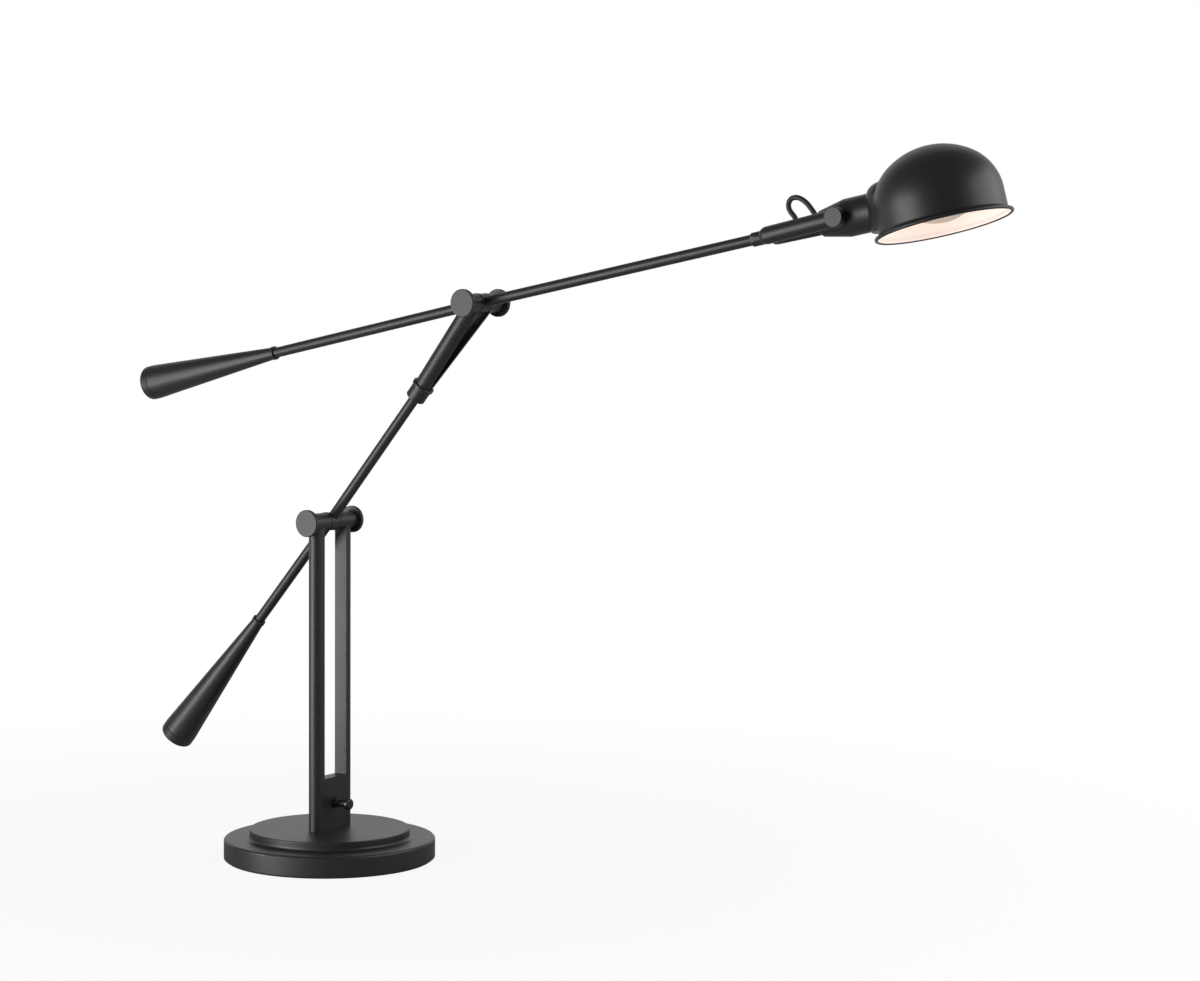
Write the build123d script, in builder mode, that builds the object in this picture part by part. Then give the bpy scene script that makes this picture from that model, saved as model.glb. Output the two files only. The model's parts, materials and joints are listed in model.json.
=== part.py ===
"""A balanced-arm desk lamp with a round base, a split column, two counterweighted arms and a bell shade.

Millimetres, +Z up. The origin is the centre of the base on the table. +X points from the column to the
shade, and every pivot pin lies along Y, with the near side of the lamp at -Y.
"""
import os
from math import atan2, cos, pi, radians, sin, sqrt, tan

from build123d import *

os.makedirs("parts", exist_ok=True)

# Base
base_radius = 101.6
base_top = 21.2
base_edge = 2.4
felt_thickness = 1.5
felt_inset = 3.0
riser_radius = 77.0
riser_top = 29.9
riser_cove = 2.6
riser_edge = 1.0
wire_hole_radius = 6.0
recess_radius = 34.0
recess_depth = 8.0
gland_radius = 4.5
gland_length = 14.0
gland_flange_radius = 6.0
gland_flange = 1.6
gland_hole_radius = 2.5
gland_height = 8.0

# Column
bar_half_width = 7.0
bar_land = 4.4
bar_gap = 32.9
block_top = 80.0
block_wall = 2.0
block_cavity_half_length = 11.0
block_roof = 6.0
cover_thickness = 1.2
cover_screw_heights = (104.0, 267.0)
cover_screw_offset = 4.9
cover_screw_radius = 0.9
cover_screw_length = 5.0
column_screw_radius = 2.5
column_screw_head_radius = 4.4
column_screw_head = 3.4
column_screw_grip = 14.0

# Switch
switch_height = 55.0
switch_half_length = 9.0
switch_half_height = 11.0
switch_depth = 9.2
switch_neck_radius = 4.2
switch_nut_radius = 5.6
switch_nut_thickness = 1.2
knob_shaft_radius = 2.0
knob_shaft_length = 7.0
knob_radius = 4.3
knob_face_radius = 6.1
knob_length = 17.0
knob_flare = 5.5
knob_edge = 0.6

# Pivots
barrel_radius = 8.75
hub_half_length = 5.9
pin_radius = 4.0
washer_thickness = 1.4
washer_proud = 0.35
cap_radius = 12.9
cap_height = 4.0
cap_step = 1.4
cap_step_radius = 10.2
cap_edge = 0.6
cap_socket = 3.2
lower_pivot_height = 326.4
lower_cap_seat = 30.9
upper_cap_seat = 24.5

# Arms
lower_arm_lean = 40.0
lower_arm_reach = 274.7
boom_rise = 11.23
lower_tail_set = 1.0
upper_tail_set = 0.5
rod_radius = 4.95
lead_radius = 2.3
lower_weight_start = 133.0
upper_weight_start = 248.0
weight_length = 165.0
weight_radius = 16.7
weight_neck_radius = 5.9
weight_lip_radius = 6.55
weight_lip = 3.6
weight_cap_length = 9.4
weight_edge = 2.2
weight_groove = 0.5
weight_socket = 20.0
weight_spigot_radius = 5.0
weight_spigot = 8.0

# Fork between the arms
fork_collar_start = 158.0
fork_collar_length = 16.5
fork_collar_radius = 9.45
fork_ring_radius = 10.75
fork_ring = 3.4
fork_socket = 9.0
leg_half_width = 8.3
leg_root_gap = 1.6
leg_top_gap = 19.0

# Yoke and head pivot
yoke_collar_start = 295.0
yoke_collar_length = 11.0
yoke_collar_radius = 6.25
yoke_neck_radius = 5.2
yoke_root = 314.8
yoke_barrel_radius = 6.3
yoke_socket = 8.0
head_pivot_reach = 390.0
ear_radius = 7.8
ear_root_gap = 16.0
ear_pin_gap = 35.6
ear_eye_radius = 8.5
ear_seat = 23.4
head_cap_radius = 8.8
head_cap_height = 4.2
head_screw_radius = 3.0
head_screw_reach = 5.0

# Cord loop, as distances along the upper arm and heights above it
cord_route = (
    (316.0, 0.0),
    (323.5, 0.0),
    (331.2, -0.9),
    (338.4, 1.9),
    (340.6, 9.3),
    (334.8, 17.5),
    (335.0, 24.2),
    (339.6, 28.0),
    (346.5, 26.6),
    (352.8, 20.8),
    (357.2, 13.2),
    (360.4, 6.2),
    (368.0, 6.2),
)
cord_arc_share = 0.45

# Neck, lampholder and bulb, measured along the neck from the head pivot
neck_tail = 25.6
neck_tail_radius = 11.5
neck_radius = 16.4
neck_wall = 1.8
neck_end = 41.0
neck_edge = 1.2
neck_boss_radius = 7.0
neck_shoulder = 2.0
grommet_rise = 6.2
grommet_wall = 1.0
grommet_lip = 0.8
grommet_lip_radius = 4.0
holder_start = 8.0
holder_end = 55.0
holder_floor = 18.0
bulb_cap_radius = 13.0
bulb_cap_wall = 0.6
bulb_cap_edge = 56.0
bulb_cap_tip = 4.5
bulb_cap_cone = 3.5
shell_wall = 0.45
shell_length = 22.0
contact_radius = 3.6
contact_height = 2.0
glass_wall = 0.9
glass_tongue = 6.0
bulb_outline = ((5.0, 15.2), (15.0, 19.3), (33.0, 21.8), (45.0, 19.9), (55.0, 16.1))
bulb_length = 66.0

# Shade, measured from its rim
shade_reach = 87.5
shade_drop = 25.7
shade_tilt = 3.8
shade_radius = 54.8
shade_height = 69.4
shade_shoulder_radius = 44.2
shade_wall_height = 21.7
shade_wall = 1.1
rim_radius = 59.0
rim_bead_radius = 1.6
saddle_radius = 19.4

# Collar between the neck and the shade, measured along the neck from the head pivot
collar_reach = 53.0
collar_radius = 30.0
collar_top = 22.0
collar_bottom = 19.0
collar_round = 12.5
collar_edge = 1.5

# Clearances
fit_gap = 0.05
play = 0.1
loose_gap = 0.3


def write_piece(piece, name):
    """Label one finished piece and write it to its own file."""
    piece.part.label = name
    export_step(piece.part, f"parts/{name}.step")


def arm_side(pivot, direction):
    """Plane through an arm, seen from the near side: x runs along the arm and y across it, upwards."""
    return Plane(origin=pivot, x_dir=direction, z_dir=(0, -1, 0))


def arm_section(side, distance):
    """Plane square to an arm at a distance from its pivot, with x along the pin."""
    return Plane(origin=side.origin + side.x_dir * distance, x_dir=(0, 1, 0), z_dir=side.x_dir)


def pin_section(pivot, offset, facing=1):
    """Plane square to a pivot pin at an offset along it, facing +Y or -Y."""
    return Plane(origin=pivot + Vector(0, offset, 0), x_dir=(1, 0, 0), z_dir=(0, facing, 0))


def arm_axis(side):
    """Centre line of an arm."""
    return Axis(side.origin, side.x_dir)


# Where the pivots stand and which way the arms point
lower_slope = radians(90 - lower_arm_lean)
lower_tail_slope = lower_slope - radians(lower_tail_set)
upper_slope = radians(boom_rise)
upper_tail_slope = upper_slope + radians(upper_tail_set)
lower_pivot = Vector(0, 0, lower_pivot_height)
lower_side = arm_side(lower_pivot, (cos(lower_slope), 0, sin(lower_slope)))
lower_tail_side = arm_side(lower_pivot, (cos(lower_tail_slope), 0, sin(lower_tail_slope)))
upper_pivot = lower_pivot + lower_side.x_dir * lower_arm_reach
upper_side = arm_side(upper_pivot, (cos(upper_slope), 0, sin(upper_slope)))
upper_tail_side = arm_side(upper_pivot, (cos(upper_tail_slope), 0, sin(upper_tail_slope)))
head_pivot = upper_pivot + upper_side.x_dir * head_pivot_reach
head_side = arm_side(head_pivot, upper_side.x_dir)

# Sizes that follow from the driving ones
bar_inner = bar_gap / 2
bar_centre = bar_inner + bar_land
washer_start = hub_half_length + play
barrel_start = washer_start + washer_thickness + play
rod_stop = pin_radius + 1.3
rod_bore_radius = lead_radius + loose_gap
recess_top = felt_thickness + recess_depth
block_face = bar_half_width
cavity_half_width = bar_half_width - block_wall
switch_nut_face = block_face + switch_nut_thickness
cover_top = lower_pivot_height - barrel_radius - loose_gap
groove_bottom = block_top - 14.0
groove_floor = bar_inner + 2 * lead_radius + cover_thickness + 2 * loose_gap
lead_line = groove_floor - loose_gap - lead_radius
pin_tip = cap_socket - 2 * fit_gap

# Base: felt pad, heavy disc, riser and cord gland

with BuildPart() as base_felt:
    Cylinder(base_radius - felt_inset, felt_thickness, align=(Align.CENTER, Align.CENTER, Align.MIN))
write_piece(base_felt, "base_felt")

with BuildPart(Plane.XY.offset(felt_thickness)) as base_disc:
    Cylinder(base_radius, base_top - felt_thickness, align=(Align.CENTER, Align.CENTER, Align.MIN))
    fillet(base_disc.edges().group_by(Axis.Z)[-1], base_edge)
    chamfer(base_disc.edges().group_by(Axis.Z)[0], base_edge / 3)
    Cylinder(recess_radius, recess_depth, align=(Align.CENTER, Align.CENTER, Align.MIN), mode=Mode.SUBTRACT)
    with BuildSketch(Plane.XY):
        Circle(wire_hole_radius)
        with Locations((0, bar_centre), (0, -bar_centre)):
            Circle(column_screw_radius + loose_gap)
    extrude(amount=base_top, mode=Mode.SUBTRACT)
    with BuildSketch(Plane.YZ.offset(-base_radius)):
        with Locations((0, gland_height)):
            Circle(gland_radius + fit_gap)
    extrude(amount=base_radius - recess_radius, mode=Mode.SUBTRACT)
    with BuildSketch(Plane.YZ.offset(-base_radius)):
        with Locations((0, gland_height)):
            Circle(gland_flange_radius + fit_gap)
    extrude(amount=gland_flange, mode=Mode.SUBTRACT)
write_piece(base_disc, "base_disc")

with BuildPart() as base_riser:
    with BuildSketch(Plane.XZ):
        with BuildLine():
            cove_foot = (riser_radius + riser_cove, base_top)
            cove_top = (riser_radius, base_top + riser_cove)
            RadiusArc(cove_foot, cove_top, riser_cove)
            shoulder = Line(cove_top, (riser_radius, riser_top - riser_edge))
            RadiusArc(shoulder @ 1, (riser_radius - riser_edge, riser_top), -riser_edge)
            Polyline((riser_radius - riser_edge, riser_top), (0, riser_top), (0, base_top), cove_foot)
        make_face()
    revolve(axis=Axis.Z)
    with BuildSketch(Plane.XY.offset(base_top)):
        Circle(wire_hole_radius)
        with Locations((0, bar_centre), (0, -bar_centre)):
            Circle(column_screw_radius + loose_gap)
    extrude(amount=riser_top - base_top, mode=Mode.SUBTRACT)
write_piece(base_riser, "base_riser")

gland_seat = Plane(origin=(-base_radius, 0, gland_height), x_dir=(0, 1, 0), z_dir=(1, 0, 0))

with BuildPart() as base_gland:
    with BuildSketch(gland_seat):
        Circle(gland_flange_radius)
        Circle(gland_hole_radius, mode=Mode.SUBTRACT)
    extrude(amount=gland_flange)
    with BuildSketch(gland_seat):
        Circle(gland_radius)
        Circle(gland_hole_radius, mode=Mode.SUBTRACT)
    extrude(amount=gland_length)
write_piece(base_gland, "base_gland")

# Column: two half-round bars with pivot barrels, the block between their feet and its switch


def column_bar(side, screw_hole_height):
    """One half-round bar with its flat towards the middle, from the riser to its pivot barrel."""
    with BuildPart() as bar:
        with BuildSketch(Plane.XY.offset(riser_top)):
            with BuildLine():
                inner_left = (-bar_half_width, side * bar_inner)
                inner_right = (bar_half_width, side * bar_inner)
                land_left = (-bar_half_width, side * bar_centre)
                land_right = (bar_half_width, side * bar_centre)
                Polyline(land_left, inner_left, inner_right, land_right)
                ThreePointArc(land_left, (0, side * (bar_centre + bar_half_width)), land_right)
            make_face()
        extrude(amount=lower_pivot_height - riser_top)
        with BuildSketch(pin_section(lower_pivot, side * barrel_start, side)):
            Circle(barrel_radius)
        extrude(amount=lower_cap_seat - barrel_start)
        with BuildSketch(pin_section(lower_pivot, side * barrel_start, side)):
            Circle(pin_radius + fit_gap)
        extrude(amount=lower_cap_seat - barrel_start, mode=Mode.SUBTRACT)
        with BuildSketch(Plane.XY.offset(riser_top)):
            with Locations((0, side * bar_centre)):
                Circle(column_screw_radius + fit_gap)
        extrude(amount=screw_hole_height, mode=Mode.SUBTRACT)
    return bar


front_bar = column_bar(-1, column_screw_grip)
write_piece(front_bar, "front_bar")

cover_screw_seats = [
    Plane(origin=(cover_screw_offset, bar_inner, height), x_dir=(1, 0, 0), z_dir=(0, 1, 0))
    for height in cover_screw_heights
]

with BuildPart() as rear_bar:
    add(column_bar(1, column_screw_grip).part)
    with BuildSketch(Plane.XY.offset(block_top)):
        with Locations((0, bar_inner)):
            Rectangle(2 * bar_half_width, cover_thickness, align=(Align.CENTER, Align.MIN))
    extrude(amount=cover_top - block_top, mode=Mode.SUBTRACT)
    with BuildSketch(Plane.XY.offset(groove_bottom)):
        with Locations((0, bar_inner)):
            Rectangle(2 * rod_bore_radius, groove_floor - bar_inner, align=(Align.CENTER, Align.MIN))
    extrude(amount=cover_top - groove_bottom, mode=Mode.SUBTRACT)
    for seat in cover_screw_seats:
        with BuildSketch(seat):
            Circle(cover_screw_radius + fit_gap)
        extrude(amount=cover_screw_length, mode=Mode.SUBTRACT)
write_piece(rear_bar, "rear_bar")

with BuildPart() as rear_cover:
    with BuildSketch(Plane.XY.offset(block_top)):
        with Locations((0, bar_inner)):
            Rectangle(2 * bar_half_width, cover_thickness, align=(Align.CENTER, Align.MIN))
    extrude(amount=cover_top - block_top)
    for seat in cover_screw_seats:
        with BuildSketch(seat):
            Circle(cover_screw_radius + fit_gap)
        extrude(amount=cover_thickness, mode=Mode.SUBTRACT)
write_piece(rear_cover, "rear_cover")

with BuildPart() as cover_screws:
    for seat in cover_screw_seats:
        with BuildSketch(seat):
            Circle(cover_screw_radius)
        extrude(amount=cover_screw_length)
write_piece(cover_screws, "cover_screws")

with BuildPart() as column_lead:
    with BuildSketch(Plane.XY.offset(groove_bottom)):
        with Locations((0, lead_line)):
            Circle(lead_radius)
    extrude(amount=cover_top - groove_bottom)
write_piece(column_lead, "column_lead")

with BuildPart() as column_screws:
    for side in (-1, 1):
        with BuildSketch(Plane.XY.offset(recess_top - column_screw_head)):
            with Locations((0, side * bar_centre)):
                Circle(column_screw_head_radius)
        extrude(amount=column_screw_head)
        with BuildSketch(Plane.XY.offset(recess_top)):
            with Locations((0, side * bar_centre)):
                Circle(column_screw_radius)
        extrude(amount=riser_top - recess_top + column_screw_grip)
write_piece(column_screws, "column_screws")

with BuildPart() as column_block:
    with BuildSketch(Plane.XY.offset(riser_top)):
        Rectangle(2 * block_face, bar_gap)
    extrude(amount=block_top - riser_top)
    with BuildSketch(Plane.XY.offset(riser_top)):
        Rectangle(2 * cavity_half_width, 2 * block_cavity_half_length)
    extrude(amount=block_top - block_roof - riser_top, mode=Mode.SUBTRACT)
    with BuildSketch(Plane.YZ.offset(cavity_half_width)):
        with Locations((0, switch_height)):
            Circle(switch_neck_radius + fit_gap)
    extrude(amount=block_wall, mode=Mode.SUBTRACT)
    with BuildSketch(Plane.XZ.offset(-bar_inner)):
        with Locations((0, groove_bottom + rod_bore_radius)):
            Circle(rod_bore_radius)
    extrude(amount=bar_inner - block_cavity_half_length, mode=Mode.SUBTRACT)
write_piece(column_block, "column_block")

with BuildPart() as switch_body:
    with BuildSketch(Plane.YZ.offset(cavity_half_width - switch_depth)):
        with Locations((0, switch_height)):
            Rectangle(2 * switch_half_length, 2 * switch_half_height)
    extrude(amount=switch_depth)
    with BuildSketch(Plane.YZ.offset(cavity_half_width)):
        with Locations((0, switch_height)):
            Circle(switch_neck_radius)
    extrude(amount=switch_nut_face - cavity_half_width)
    with BuildSketch(Plane.YZ.offset(switch_nut_face + play - knob_shaft_length)):
        with Locations((0, switch_height)):
            Circle(knob_shaft_radius + fit_gap)
    extrude(amount=knob_shaft_length, mode=Mode.SUBTRACT)
write_piece(switch_body, "switch_body")

with BuildPart() as switch_nut:
    with BuildSketch(Plane.YZ.offset(block_face)):
        with Locations((0, switch_height)):
            Circle(switch_nut_radius)
            Circle(switch_neck_radius + fit_gap, mode=Mode.SUBTRACT)
    extrude(amount=switch_nut_thickness)
write_piece(switch_nut, "switch_nut")

with BuildPart() as switch_knob:
    knob_root = switch_nut_face + loose_gap
    knob_face = knob_root + knob_length
    with BuildSketch(Plane(origin=(0, 0, switch_height), x_dir=(1, 0, 0), z_dir=(0, -1, 0))):
        with BuildLine():
            shaft_tip = knob_root - knob_shaft_length + play
            stem = Polyline(
                (knob_face, 0),
                (shaft_tip, 0),
                (shaft_tip, knob_shaft_radius),
                (knob_root, knob_shaft_radius),
                (knob_root, knob_radius),
                (knob_face - knob_flare, knob_radius),
            )
            flare = RadiusArc(stem @ 1, (knob_face - 2 * knob_edge, knob_face_radius), 2 * knob_flare)
            Polyline(
                flare @ 1,
                (knob_face - knob_edge, knob_face_radius),
                (knob_face, knob_face_radius - knob_edge),
                (knob_face, 0),
            )
        make_face()
    revolve(axis=Axis((0, 0, switch_height), (1, 0, 0)))
write_piece(switch_knob, "switch_knob")

# Pivots: pins, end caps and friction washers


def pivot_pin(pivot, seat):
    """Plain pin through both barrels, reaching into the end caps."""
    with BuildPart() as pin:
        with BuildSketch(pin_section(pivot, -seat - pin_tip)):
            Circle(pin_radius)
        extrude(amount=2 * (seat + pin_tip))
    return pin


def pivot_cap(pivot, seat, side):
    """Round cap on one end of a pivot pin, with a step against the barrel."""
    outer = cap_step + cap_height
    with BuildPart() as cap:
        with BuildSketch(Plane(origin=pivot, x_dir=(1, 0, 0), z_dir=(0, 0, 1))):
            with BuildLine():
                Polyline(
                    (0, side * (seat + cap_socket)),
                    (pin_radius + fit_gap, side * (seat + cap_socket)),
                    (pin_radius + fit_gap, side * seat),
                    (cap_step_radius, side * seat),
                    (cap_step_radius, side * (seat + cap_step)),
                    (cap_radius - cap_edge, side * (seat + cap_step)),
                    (cap_radius, side * (seat + cap_step + cap_edge)),
                    (cap_radius, side * (seat + outer - cap_edge)),
                    (cap_radius - cap_edge, side * (seat + outer)),
                    (0, side * (seat + outer)),
                    close=True,
                )
            make_face()
        revolve(axis=Axis(pivot, (0, 1, 0)))
    return cap


def pivot_washers(pivot):
    """Pair of friction washers, one on each side of a hub."""
    with BuildPart() as washers:
        for side in (-1, 1):
            with BuildSketch(pin_section(pivot, side * washer_start, side)):
                Circle(barrel_radius + washer_proud)
                Circle(pin_radius + fit_gap, mode=Mode.SUBTRACT)
            extrude(amount=washer_thickness)
    return washers


for joint, pivot, seat in (("lower", lower_pivot, lower_cap_seat), ("upper", upper_pivot, upper_cap_seat)):
    write_piece(pivot_pin(pivot, seat), f"{joint}_pin")
    write_piece(pivot_cap(pivot, seat, -1), f"{joint}_front_cap")
    write_piece(pivot_cap(pivot, seat, 1), f"{joint}_rear_cap")
    write_piece(pivot_washers(pivot), f"{joint}_washers")

# Arms: hubs, rods with leads and counterweights


def arm_hub(side, tail_side):
    """Barrel on the pivot pin with a socket for the rod on one side and for the tail rod on the other."""
    with BuildPart() as hub:
        with BuildSketch(pin_section(side.origin, -hub_half_length)):
            Circle(barrel_radius)
            Circle(pin_radius + fit_gap, mode=Mode.SUBTRACT)
        extrude(amount=2 * hub_half_length)
        with BuildSketch(arm_section(side, rod_stop)):
            Circle(rod_radius + fit_gap)
        extrude(amount=barrel_radius, mode=Mode.SUBTRACT)
        with BuildSketch(arm_section(tail_side, -rod_stop)):
            Circle(rod_radius + fit_gap)
        extrude(amount=-barrel_radius, mode=Mode.SUBTRACT)
    return hub


def arm_tube(side, start, end, bore):
    """Straight round rod along an arm, bored for a lead where it carries one."""
    with BuildPart() as tube:
        with BuildSketch(arm_section(side, start)):
            Circle(rod_radius)
            if bore:
                Circle(rod_bore_radius, mode=Mode.SUBTRACT)
        extrude(amount=end - start)
    return tube


def arm_lead(side, start, end):
    """Lead that runs inside a rod."""
    with BuildPart() as lead:
        with BuildSketch(arm_section(side, start)):
            Circle(lead_radius)
        extrude(amount=end - start)
    return lead


def counterweight(side, start):
    """Cone on the tail of an arm, with a lip round the rod and a flat end for its cap."""
    body_end = start + weight_length - weight_cap_length
    with BuildPart() as weight:
        with BuildSketch(side):
            with BuildLine():
                Polyline(
                    (-start - weight_socket, 0),
                    (-start - weight_socket, rod_radius + fit_gap),
                    (-start, rod_radius + fit_gap),
                    (-start, weight_lip_radius - weight_groove),
                    (-start - weight_groove, weight_lip_radius),
                    (-start - weight_lip, weight_lip_radius),
                    (-start - weight_lip, weight_neck_radius),
                    (-body_end + weight_groove, weight_radius),
                    (-body_end, weight_radius - weight_groove),
                    (-body_end, weight_spigot_radius + fit_gap),
                    (-body_end + weight_spigot, weight_spigot_radius + fit_gap),
                    (-body_end + weight_spigot, 0),
                    close=True,
                )
            make_face()
        revolve(axis=arm_axis(side))
    return weight


def counterweight_cap(side, start):
    """Screwed end cap of a counterweight, with a rounded edge."""
    body_end = start + weight_length - weight_cap_length
    end = start + weight_length
    with BuildPart() as cap:
        with BuildSketch(side):
            with BuildLine():
                rim = Polyline(
                    (-end, 0),
                    (-body_end + weight_spigot - 2 * fit_gap, 0),
                    (-body_end + weight_spigot - 2 * fit_gap, weight_spigot_radius),
                    (-body_end, weight_spigot_radius),
                    (-body_end, weight_radius - weight_groove),
                    (-body_end - weight_groove, weight_radius),
                    (-end + weight_edge, weight_radius),
                )
                RadiusArc(rim @ 1, (-end, weight_radius - weight_edge), -weight_edge)
                Line((-end, weight_radius - weight_edge), (-end, 0))
            make_face()
        revolve(axis=arm_axis(side))
    return cap


lower_rod_end = fork_collar_start + fork_socket
upper_rod_end = yoke_collar_start + yoke_socket
lower_tail_end = -lower_weight_start - weight_socket
upper_tail_end = -upper_weight_start - weight_socket
cord_start = cord_route[0][0]

write_piece(arm_hub(lower_side, lower_tail_side), "lower_hub")
write_piece(arm_tube(lower_side, rod_stop, lower_rod_end, True), "lower_rod")
write_piece(arm_lead(lower_side, rod_stop, lower_rod_end), "lower_lead")
write_piece(arm_tube(lower_tail_side, lower_tail_end, -rod_stop, False), "lower_tail_rod")
write_piece(counterweight(lower_tail_side, lower_weight_start), "lower_weight")
write_piece(counterweight_cap(lower_tail_side, lower_weight_start), "lower_weight_cap")

write_piece(arm_hub(upper_side, upper_tail_side), "upper_hub")
write_piece(arm_tube(upper_side, rod_stop, upper_rod_end, True), "upper_rod")
write_piece(arm_lead(upper_side, rod_stop, cord_start), "upper_lead")
write_piece(arm_tube(upper_tail_side, upper_tail_end, -rod_stop, False), "upper_tail_rod")
write_piece(counterweight(upper_tail_side, upper_weight_start), "upper_weight")
write_piece(counterweight_cap(upper_tail_side, upper_weight_start), "upper_weight_cap")

# Fork: ringed collar and two half-round legs that splay to the upper pivot barrels

fork_collar_end = fork_collar_start + fork_collar_length

with BuildPart() as fork_collar:
    with BuildSketch(lower_side):
        with BuildLine():
            ring_foot = fork_collar_end - fork_ring
            Polyline(
                (fork_collar_start + fork_socket, 0),
                (fork_collar_start + fork_socket, rod_radius + fit_gap),
                (fork_collar_start, rod_radius + fit_gap),
                (fork_collar_start, fork_collar_radius - cap_edge),
                (fork_collar_start + cap_edge, fork_collar_radius),
                (ring_foot, fork_collar_radius),
                (ring_foot + cap_edge, fork_ring_radius),
                (fork_collar_end - cap_edge, fork_ring_radius),
                (fork_collar_end, fork_ring_radius - cap_edge),
                (fork_collar_end, 0),
                close=True,
            )
        make_face()
    revolve(axis=arm_axis(lower_side))
write_piece(fork_collar, "fork_collar")


def splayed_plane(side, lean_side, root, root_gap, tip, tip_gap):
    """Plane at the root of a splayed leg: z runs along the leg and -y points outwards."""
    foot = side.origin + side.x_dir * root + Vector(0, lean_side * root_gap / 2, 0)
    head = side.origin + side.x_dir * tip + Vector(0, lean_side * tip_gap / 2, 0)
    return Plane(origin=foot, x_dir=side.y_dir * lean_side, z_dir=head - foot), (head - foot).length


def fork_leg(lean_side):
    """Half-round leg from the collar to a barrel on the upper pivot."""
    leg_plane, leg_length = splayed_plane(
        lower_side, lean_side, fork_collar_end, leg_root_gap, lower_arm_reach, leg_top_gap
    )
    root_overlap = leg_half_width / 2
    with BuildPart() as leg:
        with BuildSketch(leg_plane.offset(-root_overlap)):
            Circle(leg_half_width)
            Rectangle(
                2 * leg_half_width, leg_half_width, align=(Align.CENTER, Align.MIN), mode=Mode.SUBTRACT
            )
        extrude(amount=leg_length + root_overlap)
        split(bisect_by=arm_section(lower_side, fork_collar_end), keep=Keep.TOP)
        with BuildSketch(pin_section(upper_pivot, lean_side * barrel_start, lean_side)):
            Circle(barrel_radius)
        extrude(amount=upper_cap_seat - barrel_start)
        with BuildSketch(pin_section(upper_pivot, lean_side * barrel_start, lean_side)):
            Circle(pin_radius + fit_gap)
        extrude(amount=upper_cap_seat - barrel_start, mode=Mode.SUBTRACT)
    return leg


write_piece(fork_leg(-1), "fork_front_leg")
write_piece(fork_leg(1), "fork_rear_leg")

# Yoke: collar with a cross barrel, two splayed ears and the head's pivot screws

ear_planes = {
    side: splayed_plane(upper_side, side, yoke_root, ear_root_gap, head_pivot_reach, ear_pin_gap)[0]
    for side in (-1, 1)
}
ear_length = splayed_plane(upper_side, 1, yoke_root, ear_root_gap, head_pivot_reach, ear_pin_gap)[1]
yoke_root_point = upper_pivot + upper_side.x_dir * yoke_root
cord_hole_radius = lead_radius + loose_gap / 2

with BuildPart() as yoke_collar:
    with BuildSketch(upper_side):
        with BuildLine():
            collar_end = yoke_collar_start + yoke_collar_length
            Polyline(
                (yoke_collar_start + yoke_socket, 0),
                (yoke_collar_start + yoke_socket, rod_radius + fit_gap),
                (yoke_collar_start, rod_radius + fit_gap),
                (yoke_collar_start, yoke_collar_radius - cap_edge),
                (yoke_collar_start + cap_edge, yoke_collar_radius),
                (collar_end, yoke_collar_radius),
                (collar_end, yoke_neck_radius),
                (yoke_root, yoke_neck_radius),
                (yoke_root, 0),
                close=True,
            )
        make_face()
    revolve(axis=arm_axis(upper_side))
    with BuildSketch(pin_section(yoke_root_point, -ear_root_gap)):
        Circle(yoke_barrel_radius)
    extrude(amount=2 * ear_root_gap)
    for side in (-1, 1):
        ear_flat = Plane(origin=ear_planes[side].origin, z_dir=ear_planes[side].y_dir)
        split(bisect_by=ear_flat, keep=Keep.TOP)
    with BuildSketch(arm_section(upper_side, upper_rod_end)):
        Circle(cord_hole_radius)
    extrude(amount=yoke_root + 2 * yoke_barrel_radius - upper_rod_end, mode=Mode.SUBTRACT)
write_piece(yoke_collar, "yoke_collar")


def yoke_ear(side):
    """Half-round ear with a round root and a flat-faced eye for the head's pivot screw."""
    ear_plane = ear_planes[side]
    ear_flat = Plane(origin=ear_plane.origin, z_dir=ear_plane.y_dir)
    root_plane = Plane(origin=ear_plane.origin, z_dir=-ear_plane.y_dir - ear_plane.z_dir)
    eye_start = ear_pin_gap / 2
    with BuildPart() as ear:
        with BuildSketch(ear_plane):
            Circle(ear_radius)
            Rectangle(2 * ear_radius, ear_radius, align=(Align.CENTER, Align.MIN), mode=Mode.SUBTRACT)
        extrude(amount=ear_length)
        with Locations(root_plane):
            Sphere(ear_radius)
        with BuildSketch(pin_section(head_pivot, side * (eye_start - ear_radius / 2), side)):
            Circle(ear_eye_radius)
        extrude(amount=ear_seat - eye_start + ear_radius / 2)
        split(bisect_by=ear_flat, keep=Keep.BOTTOM)
        with BuildSketch(pin_section(head_pivot, 0, side)):
            Circle(neck_boss_radius + 2 * loose_gap)
        extrude(amount=eye_start, mode=Mode.SUBTRACT)
        with BuildSketch(pin_section(head_pivot, side * ear_seat, side)):
            Circle(head_cap_radius + loose_gap)
        extrude(amount=ear_radius, mode=Mode.SUBTRACT)
        with BuildSketch(pin_section(head_pivot, 0, side)):
            Circle(head_screw_radius + fit_gap)
        extrude(amount=ear_seat, mode=Mode.SUBTRACT)
    return ear


def head_screw(side):
    """Cap-headed pivot screw through an ear into the boss of the neck."""
    tip = ear_pin_gap / 2 - play - head_screw_reach
    outer = ear_seat + head_cap_height
    with BuildPart() as screw:
        with BuildSketch(Plane(origin=head_pivot, x_dir=(1, 0, 0), z_dir=(0, 0, 1))):
            with BuildLine():
                Polyline(
                    (0, side * tip),
                    (head_screw_radius, side * tip),
                    (head_screw_radius, side * ear_seat),
                    (head_cap_radius, side * ear_seat),
                    (head_cap_radius, side * (outer - cap_edge)),
                    (head_cap_radius - cap_edge, side * outer),
                    (0, side * outer),
                    close=True,
                )
            make_face()
        revolve(axis=Axis(head_pivot, (0, 1, 0)))
    return screw


for side, place in ((-1, "front"), (1, "rear")):
    write_piece(yoke_ear(side), f"yoke_{place}_ear")
    write_piece(head_screw(side), f"head_{place}_screw")

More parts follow.
